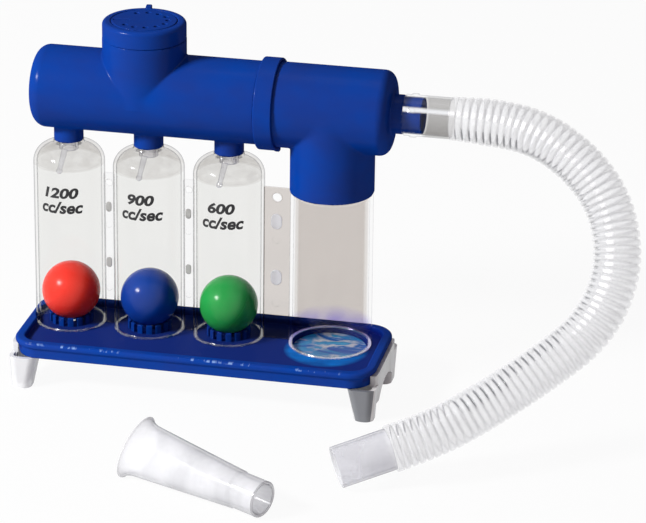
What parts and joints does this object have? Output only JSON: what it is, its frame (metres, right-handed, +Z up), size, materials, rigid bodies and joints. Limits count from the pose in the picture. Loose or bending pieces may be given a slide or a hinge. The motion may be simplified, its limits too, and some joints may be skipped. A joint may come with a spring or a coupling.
{
  "type": "incentive spirometer",
  "caption": "Flow incentive spirometer: a blue manifold on clear ball tubes and a trap tube, on a tray with leg frames, with a vent dial, a corrugated hose and a loose mouthpiece.",
  "frame": {"origin": "on the table plane, under the middle of the tray's length and under the mid-plane of the ball tubes", "axes": "+X along the manifold towards the hose, +Y to the rear, +Z up"},
  "size_m": [0.2978, 0.1764, 0.177],
  "materials": {
    "blue_plastic": "gloss royal blue moulding",
    "pale_blue_plastic": "clear pale blue disc",
    "clear_plastic": "clear gloss moulding",
    "frame_plastic": "milky white moulding, gloss",
    "white_plastic": "plain white moulding",
    "hose_plastic": "milky clear, soft gloss",
    "milky_plastic": "milky white moulding, satin gloss",
    "red_plastic": "gloss, hollow ball",
    "blue_ball_plastic": "gloss, hollow ball",
    "green_plastic": "gloss, hollow ball"
  },
  "bodies": {
    "stand": {"base_tray": "blue_plastic", "trap_disc": "pale_blue_plastic", "leg_frame_left": "frame_plastic", "leg_frame_right": "frame_plastic", "chamber_front": "clear_plastic", "chamber_rear": "clear_plastic", "manifold_tube": "blue_plastic", "manifold_tee": "blue_plastic", "vent_plate": "blue_plastic", "hose": "hose_plastic", "hose_cuff_near": "hose_plastic", "hose_cuff_far": "hose_plastic", "ball_stop_1200": "clear_plastic", "ball_stop_900": "clear_plastic", "ball_stop_600": "clear_plastic"},
    "dial": {"dial": "blue_plastic", "dial_clip": "white_plastic"},
    "ball_1200": {"ball_1200": "red_plastic"},
    "ball_900": {"ball_900": "blue_ball_plastic"},
    "ball_600": {"ball_600": "green_plastic"},
    "mouthpiece": {"mouthpiece": "milky_plastic"}
  },
  "joints": [
    {"name": "ball_1200_rise", "type": "slide", "parent": "stand", "child": "ball_1200", "axis": [0, 0, 1], "range_m": [0, 0.04865]},
    {"name": "ball_900_rise", "type": "slide", "parent": "stand", "child": "ball_900", "axis": [0, 0, 1], "range_m": [0, 0.04865]},
    {"name": "ball_600_rise", "type": "slide", "parent": "stand", "child": "ball_600", "axis": [0, 0, 1], "range_m": [0, 0.04865]},
    {"name": "dial_turn", "type": "hinge", "parent": "stand", "child": "dial", "pos_m": [-0.031, 0, 0.1696], "axis": [0, 0, 1], "range_deg": [-140, 112]},
    {"name": "mouthpiece_lift", "type": "slide", "parent": "stand", "child": "mouthpiece", "axis": [0, 0, 1], "range_m": [0, 0.05]}
  ]
}
